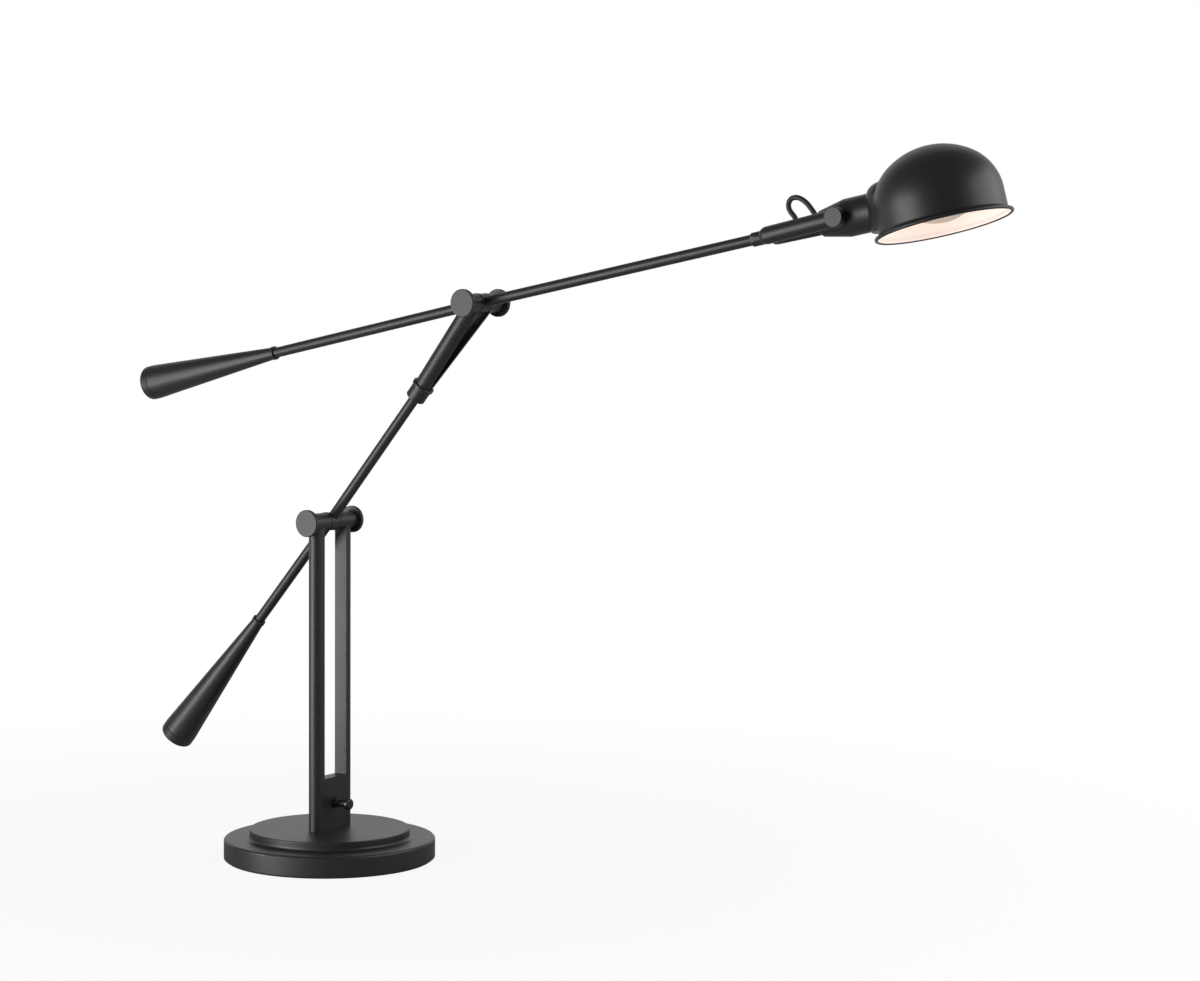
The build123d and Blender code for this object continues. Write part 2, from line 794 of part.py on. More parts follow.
# Neck: tapered cup on the head pivot, with bosses for the pivot screws and a grommet for the lead

boss_face = ear_pin_gap / 2 - play
neck_bore = neck_radius - neck_wall
tail_bore = neck_tail_radius - neck_wall
tail_floor = -neck_tail + 2 * neck_wall
grommet_radius = lead_radius + fit_gap + grommet_wall

with BuildPart() as neck:
    with BuildSketch(head_side):
        with BuildLine():
            Polyline(
                (-neck_tail, 0),
                (-neck_tail, neck_tail_radius - neck_edge),
                (-neck_tail + neck_edge, neck_tail_radius),
                (0, neck_radius),
                (neck_end, neck_radius),
                (neck_end, neck_bore),
                (holder_start, neck_bore),
                (holder_start, neck_bore - neck_shoulder),
                (0, neck_bore - neck_shoulder),
                (tail_floor, tail_bore),
                (tail_floor, 0),
                close=True,
            )
        make_face()
    revolve(axis=arm_axis(head_side))
    with BuildSketch(pin_section(head_pivot, -boss_face)):
        Circle(neck_boss_radius)
    extrude(amount=2 * boss_face)
    with BuildSketch(arm_section(head_side, tail_floor)):
        Circle(tail_bore)
    extrude(amount=neck_end - tail_floor, mode=Mode.SUBTRACT)
    with BuildSketch(pin_section(head_pivot, -boss_face)):
        Circle(head_screw_radius + fit_gap)
    extrude(amount=2 * boss_face, mode=Mode.SUBTRACT)
    with BuildSketch(arm_section(head_side, -neck_tail)):
        with Locations((0, grommet_rise)):
            Circle(grommet_radius + fit_gap)
    extrude(amount=2 * neck_wall, mode=Mode.SUBTRACT)
write_piece(neck, "neck")

with BuildPart() as neck_grommet:
    with BuildSketch(arm_section(head_side, -neck_tail - grommet_lip)):
        with Locations((0, grommet_rise)):
            Circle(grommet_lip_radius)
    extrude(amount=grommet_lip)
    with BuildSketch(arm_section(head_side, -neck_tail)):
        with Locations((0, grommet_rise)):
            Circle(grommet_radius)
    extrude(amount=2 * neck_wall)
    with BuildSketch(arm_section(head_side, -neck_tail - grommet_lip)):
        with Locations((0, grommet_rise)):
            Circle(lead_radius + fit_gap)
    extrude(amount=grommet_lip + 2 * neck_wall, mode=Mode.SUBTRACT)
write_piece(neck_grommet, "neck_grommet")

# Cord loop: leaves the yoke, turns back over itself and enters the grommet

cord_points = [Vector(*point) for point in cord_route]
cord_runs = [end - start for start, end in zip(cord_points, cord_points[1:])]
cord_turns = [radians(first.get_angle(second)) for first, second in zip(cord_runs, cord_runs[1:])]
cord_radii = [
    cord_arc_share * min(first.length, second.length) / tan(turn / 2)
    for first, second, turn in zip(cord_runs, cord_runs[1:], cord_turns)
]
print("cord loop radii, mm:", [round(radius, 1) for radius in cord_radii])

with BuildPart() as cord_loop:
    with BuildLine(upper_side):
        cord_line = FilletPolyline(*cord_route, radius=cord_radii)
    with BuildSketch(arm_section(upper_side, cord_start)):
        Circle(lead_radius)
    sweep()
print("cord loop length, mm:", round(cord_line.length, 1))
cord_plain_volume = pi * lead_radius**2 * cord_line.length
print("cord loop volume over section x length:", round(cord_loop.part.volume / cord_plain_volume, 4))
write_piece(cord_loop, "cord_loop")

# Lampholder and bulb, which lie along the neck inside the shade

shell_bore = bulb_cap_radius + fit_gap
shell_radius = shell_bore + shell_wall
holder_bore = shell_radius + fit_gap
holder_face = holder_start + holder_floor
contact_face = holder_face + contact_height

with BuildPart() as lampholder:
    with BuildSketch(arm_section(head_side, holder_start)):
        Circle(neck_bore - fit_gap)
    extrude(amount=holder_end - holder_start)
    with BuildSketch(arm_section(head_side, holder_face)):
        Circle(holder_bore)
    extrude(amount=holder_end - holder_face, mode=Mode.SUBTRACT)
write_piece(lampholder, "lampholder")

with BuildPart() as screw_shell:
    with BuildSketch(arm_section(head_side, holder_face)):
        Circle(shell_radius)
        Circle(shell_bore, mode=Mode.SUBTRACT)
    extrude(amount=shell_length)
write_piece(screw_shell, "screw_shell")

with BuildPart() as centre_contact:
    with BuildSketch(arm_section(head_side, holder_face)):
        Circle(contact_radius)
    extrude(amount=contact_height)
write_piece(centre_contact, "centre_contact")

with BuildPart() as bulb_cap:
    with BuildSketch(head_side):
        with BuildLine():
            cone_end = contact_face + bulb_cap_wall + bulb_cap_cone
            Polyline(
                (contact_face, 0),
                (contact_face, bulb_cap_tip),
                (contact_face + bulb_cap_wall, bulb_cap_tip),
                (cone_end, bulb_cap_radius - bulb_cap_wall),
                (cone_end, bulb_cap_radius),
                (bulb_cap_edge, bulb_cap_radius),
                (bulb_cap_edge, bulb_cap_radius - bulb_cap_wall),
                (cone_end + bulb_cap_wall, bulb_cap_radius - bulb_cap_wall),
                (contact_face + 2 * bulb_cap_wall, bulb_cap_tip),
                (contact_face + 2 * bulb_cap_wall, 0),
                close=True,
            )
        make_face()
    revolve(axis=arm_axis(head_side))
write_piece(bulb_cap, "bulb_cap")

with BuildPart() as bulb_glass:
    tongue_radius = bulb_cap_radius - bulb_cap_wall - fit_gap
    tongue_end = bulb_cap_edge - glass_tongue
    bulb_tip = bulb_cap_edge + bulb_length
    outer_points = [(bulb_cap_edge + run, radius) for run, radius in bulb_outline]
    inner_points = [(bulb_cap_edge + run, radius - glass_wall) for run, radius in bulb_outline]
    with BuildSketch(head_side):
        with BuildLine():
            Line((tongue_end, tongue_radius), (bulb_cap_edge, tongue_radius))
            Spline(
                (bulb_cap_edge, tongue_radius),
                *outer_points,
                (bulb_tip, 0),
                tangents=((1, 0.5), (0, -1)),
            )
            Line((bulb_tip, 0), (bulb_tip - glass_wall, 0))
            Spline(
                (bulb_cap_edge, tongue_radius - glass_wall),
                *inner_points,
                (bulb_tip - glass_wall, 0),
                tangents=((1, 0.5), (0, -1)),
            )
            Polyline(
                (bulb_cap_edge, tongue_radius - glass_wall),
                (tongue_end, tongue_radius - glass_wall),
                (tongue_end, tongue_radius),
            )
        make_face()
    revolve(axis=arm_axis(head_side))
write_piece(bulb_glass, "bulb_glass")

# Shade: spun bell with a flared rim, hung on the neck by a saddle ring inside it

rim_centre = head_pivot + head_side.x_dir * shade_reach - head_side.y_dir * shade_drop
shade_angle = radians(boom_rise + shade_tilt)
shade_side = arm_side(rim_centre, (cos(shade_angle), 0, sin(shade_angle)))
shade_axis = Axis(shade_side.origin, shade_side.y_dir)
shoulder_x = shade_radius - shade_shoulder_radius
crown_rise = shade_height - shade_wall_height
crown_span = crown_rise - shade_shoulder_radius
crown_radius = (shoulder_x**2 + crown_rise**2 - shade_shoulder_radius**2) / (2 * crown_span)
crown_y = shade_height - crown_radius
tangent_angle = atan2(shade_wall_height - crown_y, shoulder_x)
flare_radius = rim_radius - rim_bead_radius - shade_radius
flare_x = rim_radius - rim_bead_radius
flare_y = 2 * rim_bead_radius + flare_radius


def shoulder_point(angle, inset):
    """Point on the shoulder arc of the shade, set in from its outside."""
    radius = shade_shoulder_radius - inset
    return (shoulder_x + radius * cos(angle), shade_wall_height + radius * sin(angle))


def crown_point(angle, inset):
    """Point on the crown arc of the shade, set in from its outside."""
    radius = crown_radius - inset
    return (radius * cos(angle), crown_y + radius * sin(angle))


def flare_point(angle, inset):
    """Point on the flare above the rim, set in from its outside."""
    radius = flare_radius + inset
    return (flare_x + radius * cos(angle), flare_y + radius * sin(angle))


straight_down = radians(270)
straight_back = radians(180)
flare_middle = (straight_back + straight_down) / 2
crown_middle = (tangent_angle + radians(90)) / 2

with BuildPart() as shade_inside:
    with BuildSketch(shade_side):
        with BuildLine():
            Polyline(
                (0, crown_point(radians(90), shade_wall)[1]),
                (0, 0),
                (flare_x, 0),
                flare_point(straight_down, shade_wall),
            )
            ThreePointArc(
                flare_point(straight_down, shade_wall),
                flare_point(flare_middle, shade_wall),
                flare_point(straight_back, shade_wall),
            )
            Line(flare_point(straight_back, shade_wall), shoulder_point(0, shade_wall))
            ThreePointArc(
                shoulder_point(0, shade_wall),
                shoulder_point(tangent_angle / 2, shade_wall),
                shoulder_point(tangent_angle, shade_wall),
            )
            ThreePointArc(
                shoulder_point(tangent_angle, shade_wall),
                crown_point(crown_middle, shade_wall),
                (0, crown_point(radians(90), shade_wall)[1]),
            )
        make_face()
    revolve(axis=shade_axis)

with BuildPart() as shade:
    with BuildSketch(shade_side):
        with BuildLine():
            Line((0, shade_height - shade_wall), (0, shade_height))
            ThreePointArc((0, shade_height), crown_point(crown_middle, 0), crown_point(tangent_angle, 0))
            ThreePointArc(
                crown_point(tangent_angle, 0), shoulder_point(tangent_angle / 2, 0), shoulder_point(0, 0)
            )
            Line(shoulder_point(0, 0), flare_point(straight_back, 0))
            ThreePointArc(
                flare_point(straight_back, 0), flare_point(flare_middle, 0), flare_point(straight_down, 0)
            )
            Line(flare_point(straight_down, 0), flare_point(straight_down, shade_wall))
            ThreePointArc(
                flare_point(straight_down, shade_wall),
                flare_point(flare_middle, shade_wall),
                flare_point(straight_back, shade_wall),
            )
            Line(flare_point(straight_back, shade_wall), shoulder_point(0, shade_wall))
            ThreePointArc(
                shoulder_point(0, shade_wall),
                shoulder_point(tangent_angle / 2, shade_wall),
                shoulder_point(tangent_angle, shade_wall),
            )
            ThreePointArc(
                shoulder_point(tangent_angle, shade_wall),
                crown_point(crown_middle, shade_wall),
                (0, shade_height - shade_wall),
            )
        make_face()
        with Locations((flare_x, rim_bead_radius)):
            Circle(rim_bead_radius)
    revolve(axis=shade_axis)
    with BuildSketch(arm_section(head_side, 0)):
        Circle(neck_radius + fit_gap)
    extrude(amount=holder_end, mode=Mode.SUBTRACT)
write_piece(shade, "shade")

with BuildPart() as shade_saddle:
    with BuildSketch(arm_section(head_side, 0)):
        Circle(saddle_radius)
        Circle(neck_radius + fit_gap, mode=Mode.SUBTRACT)
    extrude(amount=neck_end)
    add(shade_inside.part, mode=Mode.INTERSECT)
write_piece(shade_saddle, "shade_saddle")

# Collar: upright round boss behind the shade, which the neck passes through

collar_floor = head_pivot + head_side.x_dir * collar_reach - head_side.y_dir * collar_bottom
collar_axis = Axis(collar_floor, head_side.y_dir)

with BuildPart() as shade_collar:
    with BuildSketch(Plane(origin=collar_floor, x_dir=head_side.x_dir, z_dir=head_side.y_dir)):
        Circle(collar_radius)
    extrude(amount=collar_bottom + collar_top)
    fillet(shade_collar.faces().sort_by(collar_axis)[-1].edges(), collar_round)
    fillet(shade_collar.faces().sort_by(collar_axis)[0].edges(), collar_edge)
    with BuildSketch(arm_section(head_side, 0)):
        Circle(neck_radius + fit_gap)
    extrude(amount=holder_end, mode=Mode.SUBTRACT)
    add(shade_inside.part, mode=Mode.SUBTRACT)
    add(shade.part, mode=Mode.SUBTRACT)
write_piece(shade_collar, "shade_collar")
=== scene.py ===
# %% [markdown]
# # A balanced-arm desk lamp
# The metal pieces arrive as finished solids, already in metres and in place, so this lesson is about what
# solids lack: the soft loop of cord at the head, the sockets of two tiny screws, the turned knob of the
# switch, the paint, enamel, felt, rubber and glass, and a studio to see them in.

import json
from math import cos, radians, sin

import bmesh
import bpy
from mathutils import Matrix, Vector


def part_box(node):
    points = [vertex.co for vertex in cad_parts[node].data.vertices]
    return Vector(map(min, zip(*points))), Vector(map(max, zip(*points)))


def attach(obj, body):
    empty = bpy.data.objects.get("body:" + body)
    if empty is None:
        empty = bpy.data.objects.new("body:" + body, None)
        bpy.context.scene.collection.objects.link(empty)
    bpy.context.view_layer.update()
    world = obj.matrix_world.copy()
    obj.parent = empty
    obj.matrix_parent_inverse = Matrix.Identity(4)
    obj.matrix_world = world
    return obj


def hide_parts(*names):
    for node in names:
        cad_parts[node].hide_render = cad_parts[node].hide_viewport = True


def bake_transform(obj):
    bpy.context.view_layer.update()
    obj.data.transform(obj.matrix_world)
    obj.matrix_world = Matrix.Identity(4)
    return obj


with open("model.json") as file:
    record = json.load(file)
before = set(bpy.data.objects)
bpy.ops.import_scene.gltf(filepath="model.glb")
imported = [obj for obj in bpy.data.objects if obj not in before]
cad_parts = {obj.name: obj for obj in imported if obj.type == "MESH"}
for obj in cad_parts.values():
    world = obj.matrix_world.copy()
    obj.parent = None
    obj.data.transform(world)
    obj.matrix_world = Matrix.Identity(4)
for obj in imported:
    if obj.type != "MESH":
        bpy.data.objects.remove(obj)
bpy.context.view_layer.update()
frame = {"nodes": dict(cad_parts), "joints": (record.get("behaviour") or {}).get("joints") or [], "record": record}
nodes = frame["nodes"]

# %% [markdown]
# ## Two helpers
# Each new piece starts as a form that operators shape, becomes a mesh and is shown by an object. The steps
# could spell that out each time, but they are easier to read when two short functions do it. Sizes are
# written in millimetres, as on a drawing, and turned into metres.

# %% Helpers
millimetre = 0.001


def meshed(form, name):
    """Mesh of a finished form."""
    mesh = bpy.data.meshes.new(name)
    form.to_mesh(mesh)
    form.free()
    return mesh


def shown(name, data):
    """Object that shows a mesh, a curve, a camera or a light in the scene."""
    made = bpy.data.objects.new(name, data)
    bpy.context.scene.collection.objects.link(made)
    return made


print("helpers ready, unit", millimetre, "m")

# %% [markdown]
# ## Camera
# The lamp is seen from its front right with a long lens, at about the height of the upper joint. The camera
# could be aimed at a target, but its own directions are known, so they are written into its matrix, and no
# aim has to be solved.

# %% Camera
camera_place = Vector((1.756517, -2.198101, 0.559587))
camera_right = Vector((0.83495383, 0.55027484, 0.00705005))
camera_up = Vector((-0.04541155, 0.05612632, 0.99739041))
camera_back = camera_right.cross(camera_up)
camera_turn = Matrix((camera_right, camera_up, camera_back)).transposed().to_4x4()

camera_data = bpy.data.cameras.new("camera")
camera_data.sensor_fit = "HORIZONTAL"
camera_data.sensor_width = 36.0
camera_data.lens = 88.05
camera_data.clip_end = 50.0
camera = shown("camera", camera_data)
camera.matrix_world = Matrix.Translation(camera_place) @ camera_turn
bpy.context.scene.camera = camera
print("camera at", tuple(round(x, 3) for x in camera_place))

# %% [markdown]
# ## Cord loop
# The lead leaves the front of the yoke, turns up and back over itself and dives into the rubber grommet of
# the neck. It is stiff two-core flex. Its solid could be dressed as it is, but the lead is made again from one
# NURBS line that uses the route of the solid as control points. The route is written along and above the
# upper arm, because that is how the loop was measured.

# %% Cord route
joint_places = {joint["name"]: Vector(joint["pos_m"]) for joint in frame["joints"]}
boom_rise = radians(11.23)
along = Vector((cos(boom_rise), 0, sin(boom_rise)))
across = Vector((-sin(boom_rise), 0, cos(boom_rise)))
upper_pivot = joint_places["upper_arm_tilt"]
head_pivot = joint_places["head_tilt"]


def on_boom(distance, height):
    """Point at a distance along the upper arm and a height above it, both in millimetres."""
    return upper_pivot + along * (distance * millimetre) + across * (height * millimetre)


cord_route = [
    (316.0, 0.0),
    (323.5, 0.0),
    (331.2, -0.9),
    (338.4, 1.9),
    (340.6, 9.3),
    (334.8, 17.5),
    (335.0, 24.2),
    (339.6, 28.0),
    (346.5, 26.6),
    (352.8, 20.8),
    (357.2, 13.2),
    (360.4, 6.2),
    (368.0, 6.2),
]
cord_curve = bpy.data.curves.new("cord_line", "CURVE")
cord_curve.dimensions = "3D"
cord_curve.resolution_u = 12
cord_spline = cord_curve.splines.new("NURBS")
cord_spline.points.add(len(cord_route) - 1)
for point, (distance, height) in zip(cord_spline.points, cord_route):
    point.co = (*on_boom(distance, height), 1)
cord_spline.order_u = 3
cord_spline.use_endpoint_u = True
cord_line = shown("cord_line", cord_curve)
print("cord control points", len(cord_spline.points))

# %% [markdown]
# The line is read once without thickness, which gives the path, and once with a round bevel, which gives the
# tube.


# %% Cord tube
def curve_mesh(curve_object):
    """Mesh of a curve as it stands."""
    bpy.context.view_layer.update()
    depsgraph = bpy.context.evaluated_depsgraph_get()
    return bpy.data.meshes.new_from_object(curve_object.evaluated_get(depsgraph), depsgraph=depsgraph)


cord_diameter = 4.6 * millimetre
cord_path_mesh = curve_mesh(cord_line)
cord_curve.bevel_depth = cord_diameter / 2
cord_curve.bevel_resolution = 6
cord_curve.use_fill_caps = True
cord_mesh = curve_mesh(cord_line)
cord_mesh.name = "cord"
bpy.data.objects.remove(cord_line)
bpy.data.meshes.remove(cord_path_mesh)

cord_mesh.shade_smooth()
cord = shown("cord", cord_mesh)
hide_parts("cord_loop")
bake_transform(cord)

# %% [markdown]
# ## Cover screws
# Two tiny socket screws hold the strip over the lead's groove in the far column bar. Their solids are plain
# rods. A screw could be cut with a boolean, but its face is only a round edge and a six-sided one, so the two
# are bridged, and each is then drawn back into the bar: the round one is the shank and the six-sided one is
# the socket.

# %% Cover screws
screw_low, screw_high = (Vector(corner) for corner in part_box("cover_screws"))
screw_radius = (screw_high.x - screw_low.x) / 2
screw_length = screw_high.y - screw_low.y
socket_radius = 0.62 * screw_radius
socket_depth = 1.2 * screw_radius
shank_sides = 32
socket_sides = 6
face_turn = Matrix.Rotation(radians(90), 4, "X")


def drawn_back(form, edges, depth):
    """Draw a loop of edges back into the bar and close its far end."""
    drawn = bmesh.ops.extrude_edge_only(form, edges=edges)["geom"]
    far_points = [item for item in drawn if isinstance(item, bmesh.types.BMVert)]
    far_edges = [
        item
        for item in drawn
        if isinstance(item, bmesh.types.BMEdge) and all(vertex in far_points for vertex in item.verts)
    ]
    bmesh.ops.translate(form, verts=far_points, vec=(0, depth, 0))
    bmesh.ops.contextual_create(form, geom=far_edges)


def add_socket_screw(form, face_centre):
    """Socket screw whose face lies at a point and looks towards -Y."""
    place = Matrix.Translation(face_centre) @ face_turn
    loops = []
    for sides, radius in ((shank_sides, screw_radius), (socket_sides, socket_radius)):
        ring = bmesh.ops.create_circle(form, segments=sides, radius=radius, matrix=place)["verts"]
        loops.append(list({edge for vertex in ring for edge in vertex.link_edges}))
    bmesh.ops.bridge_loops(form, edges=loops[0] + loops[1])
    drawn_back(form, loops[0], screw_length)
    drawn_back(form, loops[1], socket_depth)


screw_form = bmesh.new()
screw_line = (screw_low.x + screw_high.x) / 2
for screw_height in (screw_low.z + screw_radius, screw_high.z - screw_radius):
    add_socket_screw(screw_form, Vector((screw_line, screw_low.y, screw_height)))
bmesh.ops.recalc_face_normals(screw_form, faces=screw_form.faces)
screw_mesh = meshed(screw_form, "socket_screws")
socket_screws = shown("socket_screws", screw_mesh)
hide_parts("cover_screws")
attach(socket_screws, "stand")
print("socket screws:", len(screw_mesh.polygons), "faces, radius", round(screw_radius, 5))

# %% [markdown]
# ## Switch knob
# The knob is turned from rod: a collar at its root, a plain stem and a thick head with well rounded edges.
# Its solid ends in a plain flare. A turned form could be stacked from cylinders, but the lathe makes it from
# one profile, so a profile is spun round the axis of the switch, and the rims are bevelled afterwards.

# %% Switch knob
knob_low, knob_high = (Vector(corner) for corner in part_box("switch_knob"))
knob_axis = joint_places["switch_turn"]
knob_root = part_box("switch_nut")[1][0]
knob_head_length = 5.2 * millimetre
knob_head_back = knob_high.x - knob_head_length
knob_head_radius = 5.6 * millimetre
knob_stem_radius = 3.7 * millimetre
knob_collar_radius = 4.2 * millimetre
knob_collar_length = 2.8 * millimetre
knob_collar_front = knob_root + knob_collar_length
knob_shaft_radius = 2.0 * millimetre
knob_front_rounding = 1.9 * millimetre
knob_back_rounding = 1.0 * millimetre
knob_collar_rounding = 0.4 * millimetre
knob_sides = 48
rounding_steps = 5
sharp_angle = radians(35)
same_place = 0.001 * millimetre
knob_profile = [
    (knob_low.x, 0),
    (knob_low.x, knob_shaft_radius),
    (knob_root, knob_shaft_radius),
    (knob_root, knob_collar_radius),
    (knob_collar_front, knob_collar_radius),
    (knob_collar_front, knob_stem_radius),
    (knob_head_back, knob_stem_radius),
    (knob_head_back, knob_head_radius),
    (knob_high.x, knob_head_radius),
    (knob_high.x, 0),
]


def rim_edges(form, place, radius):
    """Edges of a turned form that lie on one circle round the axis of the switch."""
    centre = Vector((place, knob_axis.y, knob_axis.z))
    on_rim = {
        vertex
        for vertex in form.verts
        if abs(vertex.co.x - place) < same_place and abs((vertex.co - centre).length - radius) < same_place
    }
    return [edge for edge in form.edges if all(vertex in on_rim for vertex in edge.verts)]


knob_form = bmesh.new()
knob_points = [knob_form.verts.new((x, knob_axis.y, knob_axis.z + radius)) for x, radius in knob_profile]
knob_lines = [knob_form.edges.new(pair) for pair in zip(knob_points, knob_points[1:])]
bmesh.ops.spin(
    knob_form,
    geom=knob_points + knob_lines,
    cent=knob_axis,
    axis=(1, 0, 0),
    angle=radians(360),
    steps=knob_sides,
    use_merge=True,
)
bmesh.ops.remove_doubles(knob_form, verts=knob_form.verts, dist=same_place)
bmesh.ops.recalc_face_normals(knob_form, faces=knob_form.faces)
knob_rims = [
    (knob_high.x, knob_head_radius, knob_front_rounding),
    (knob_head_back, knob_head_radius, knob_back_rounding),
    (knob_collar_front, knob_collar_radius, knob_collar_rounding),
]
for place, radius, rounding in knob_rims:
    bmesh.ops.bevel(
        knob_form,
        geom=rim_edges(knob_form, place, radius),
        offset=rounding,
        affect="EDGES",
        segments=rounding_steps,
        profile=0.5,
        material=-1,
    )
knob_mesh = meshed(knob_form, "turned_knob")
knob_mesh.shade_smooth()
knob_mesh.set_sharp_from_angle(angle=sharp_angle)
turned_knob = shown("turned_knob", knob_mesh)
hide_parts("switch_knob")
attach(turned_knob, "switch_knob")
print("knob:", len(knob_mesh.polygons), "faces")

# %% [markdown]
# ## Writing shaders as sums
# A finish is easier to read as an expression than as a drawing of boxes. `Number` wraps a socket, so that
# `0.4 + 0.1 * grain` adds the Math nodes it needs. `Tree` makes any other node in one call, for a material
# and for the studio's light alike.


# %% Numbers in a shader
class Number:
    """A socket that holds one number and can stand in a Python expression."""

    def __init__(self, tree, socket):
        self.tree = tree
        self.socket = socket

    def combine(self, operation, first, second):
        settings = {"operation": operation}
        return self.tree.number("ShaderNodeMath", settings, {0: first, 1: second})

    def __add__(self, other):
        return self.combine("ADD", self, other)

    def __radd__(self, other):
        return self.combine("ADD", other, self)

    def __sub__(self, other):
        return self.combine("SUBTRACT", self, other)

    def __rsub__(self, other):
        return self.combine("SUBTRACT", other, self)

    def __mul__(self, other):
        return self.combine("MULTIPLY", self, other)

    def __rmul__(self, other):
        return self.combine("MULTIPLY", other, self)

    def __pow__(self, other):
        return self.combine("POWER", self, other)

    def __gt__(self, other):
        return self.combine("GREATER_THAN", self, other)

    def __lt__(self, other):
        return self.combine("LESS_THAN", self, other)

    def __or__(self, other):
        return self.combine("MAXIMUM", self, other)


def apart(first, second):
    """Length of the line whose two sides are given."""
    return (first * first + second * second) ** 0.5


# %% Trees of nodes
class Tree:
    """A node tree with one way to make any node in it."""

    def __init__(self, node_tree):
        self.nodes = node_tree.nodes
        self.links = node_tree.links
        self.nodes.clear()

    def plug(self, socket, value):
        """Give a socket a link or a plain value."""
        if isinstance(value, Number):
            value = value.socket
        if isinstance(value, bpy.types.NodeSocket):
            self.links.new(value, socket)
        else:
            socket.default_value = value

    def node(self, kind, settings=None, sockets=None, out=0):
        """Make a node, give it its settings and then its inputs, and hand back one output."""
        made = self.nodes.new(kind)
        for name, value in (settings or {}).items():
            setattr(made, name, value)
        for name, value in (sockets or {}).items():
            self.plug(made.inputs[name], value)
        return made.outputs[out] if made.outputs else None

    def number(self, kind, settings=None, sockets=None, out=0):
        """A node whose output is used as a number."""
        return Number(self, self.node(kind, settings, sockets, out))


# %% [markdown]
# A finish is a principled surface fed by a few patterns. All patterns lie on the piece's object coordinates,
# which are metres in the lamp's own frame, so a scale of 1000 means cells of about a millimetre on every
# piece, and a pattern stays put when a joint moves.


# %% Finishes
class Finish(Tree):
    """One material, built from a principled surface and the patterns that feed it."""

    def __init__(self, name, **surface):
        self.material = bpy.data.materials.new(name)
        self.material.use_nodes = True
        super().__init__(self.material.node_tree)
        self.surface = self.nodes.new("ShaderNodeBsdfPrincipled")
        self.output = self.nodes.new("ShaderNodeOutputMaterial")
        self.plug(self.output.inputs["Surface"], self.surface.outputs["BSDF"])
        self.place = self.node("ShaderNodeTexCoord", out="Object")
        self.set(**surface)

    def set(self, **surface):
        """Set or link inputs of the surface; names have _ for a space."""
        for name, value in surface.items():
            self.plug(self.surface.inputs[name.replace("_", " ")], value)

    def noise(self, scale, detail=2.0, roughness=0.5, place=None):
        """Grey noise with `scale` cells to the metre."""
        sockets = {"Vector": place or self.place, "Scale": scale, "Detail": detail, "Roughness": roughness}
        return self.number("ShaderNodeTexNoise", sockets=sockets, out="Fac")

    def stretched(self, scale):
        """Object coordinates scaled by a different amount along each axis."""
        return self.node("ShaderNodeMapping", sockets={"Vector": self.place, "Scale": scale})

    def mix(self, factor, first, second):
        """Colour between two colours."""
        return self.node("ShaderNodeMix", {"data_type": "RGBA"}, {0: factor, 6: first, 7: second}, out=2)

    def bump(self, height, depth, strength):
        """Surface relief of a height map, with its depth in metres."""
        sockets = {"Height": height, "Distance": depth, "Strength": strength}
        return self.node("ShaderNodeBump", sockets=sockets, out="Normal")


def grey(level):
    """Neutral colour of one level."""
    return (level, level, level, 1)


print("shader helpers ready")

# %% [markdown]
# ## Satin black paint
# Nearly all of the lamp is steel under a baked satin paint. Close up such paint has a faint orange-peel
# relief and small changes of gloss where it lies thicker. A flat black would look like a hole, so one fine
# noise drives both the relief and the gloss, and a broad one varies the black a little. A function makes
# them, because the outside of the shade has the same paint.


# %% Satin black paint
def satin_paint(finish):
    """Colour, roughness and relief of the satin black paint."""
    peel = finish.noise(1500.0, detail=1.0)
    cloud = finish.noise(18.0, detail=3.0)
    colour = finish.mix(cloud, grey(0.0065), grey(0.0115))
    roughness = 0.40 + 0.02 * peel + 0.04 * cloud
    relief = finish.bump(peel, depth=0.00002, strength=0.2)
    return colour, roughness, relief


paint = Finish("satin_black_paint", Specular_IOR_Level=0.5)
paint_colour, paint_roughness, paint_relief = satin_paint(paint)
paint.set(Base_Color=paint_colour, Roughness=paint_roughness, Normal=paint_relief)
print("paint:", len(paint.nodes), "nodes")

# %% [markdown]
# ## The two coats of the shade
# The shade is one spun shell, black outside and white enamel inside, and the enamel ends just above the
# lowest point of the rolled rim. Two objects could share the shell, but it is a single sheet of metal, so one
# finish carries both coats. The wall is 1.1 mm thick: a line through its middle, made of the same arcs as the
# shell, parts the outside from the inside.

# %% Sizes of the shade's wall
shade_tilt = radians(3.8)
shade_rise = boom_rise + shade_tilt
rim_reach = 87.5 * millimetre
rim_drop = 25.7 * millimetre
rim_centre = head_pivot + rim_reach * along - rim_drop * across
wall_middle = 0.55 * millimetre
wall_radius = 54.8 * millimetre
shoulder_radius = 44.2 * millimetre
shoulder_height = 21.7 * millimetre
shoulder_reach = wall_radius - shoulder_radius
shade_height = 69.4 * millimetre
crown_climb = shade_height - shoulder_height
crown_spare = crown_climb - shoulder_radius
crown_radius = (shoulder_reach**2 + crown_climb**2 - shoulder_radius**2) / (2 * crown_spare)
crown_height = shade_height - crown_radius
flare_reach = 57.4 * millimetre
flare_radius = flare_reach - wall_radius
rim_height = 3.2 * millimetre
flare_height = rim_height + flare_radius
enamel_edge = 1.0 * millimetre
print("crown radius", round(crown_radius, 4), "flare radius", round(flare_radius, 4))


